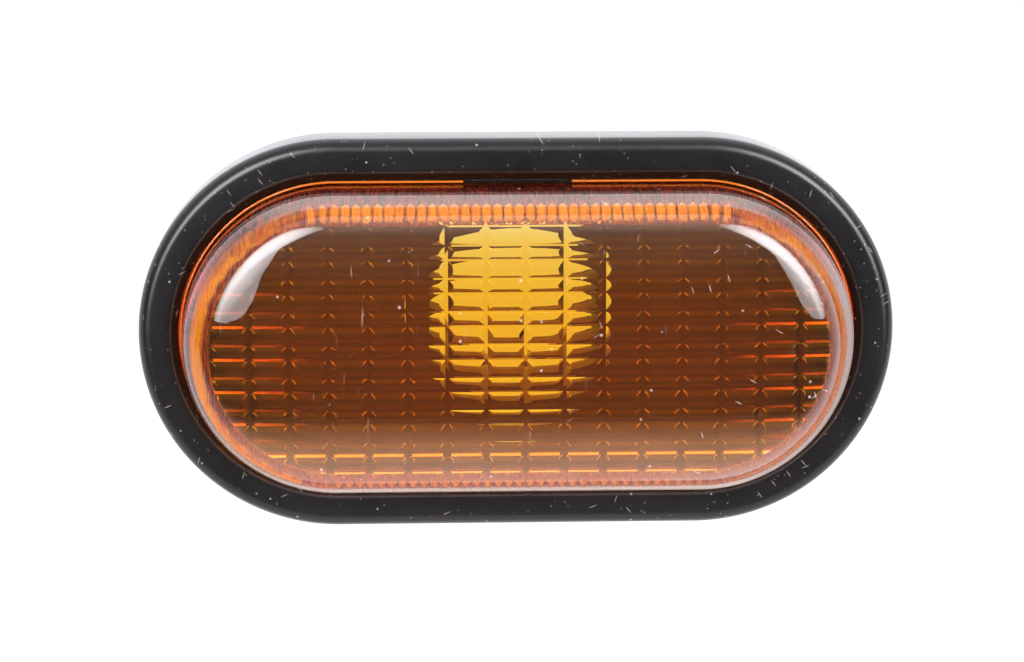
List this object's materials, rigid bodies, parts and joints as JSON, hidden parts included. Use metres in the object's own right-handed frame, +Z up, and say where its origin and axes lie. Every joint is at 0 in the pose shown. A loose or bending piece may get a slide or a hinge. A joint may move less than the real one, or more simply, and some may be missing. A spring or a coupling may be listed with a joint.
{
  "type": "side repeater lamp",
  "caption": "Oval amber side repeater lamp with a black rubber rim, a clip-in housing and an open bayonet bulb opening at the back.",
  "frame": {"origin": "centre of the oval on the plane where the rim's back seats on the panel", "axes": "+X along the lamp's length towards the spring clip, +Y into the panel, +Z up across the lamp; the lens faces -Y"},
  "size_m": [0.086, 0.0415, 0.045],
  "materials": {
    "black_rubber": "satin black moulded rubber with dust and lint",
    "amber_acrylic": "clear amber acrylic, glossy outside, pillow optics inside, with fine scratches",
    "black_plastic": "fine-grained black moulded plastic",
    "spring_steel": "bright cold-rolled spring steel"
  },
  "bodies": {
    "root": {"rim_gasket": "black_rubber", "lens": "amber_acrylic", "housing": "black_plastic", "spring_clip": "spring_steel"}
  },
  "joints": []
}
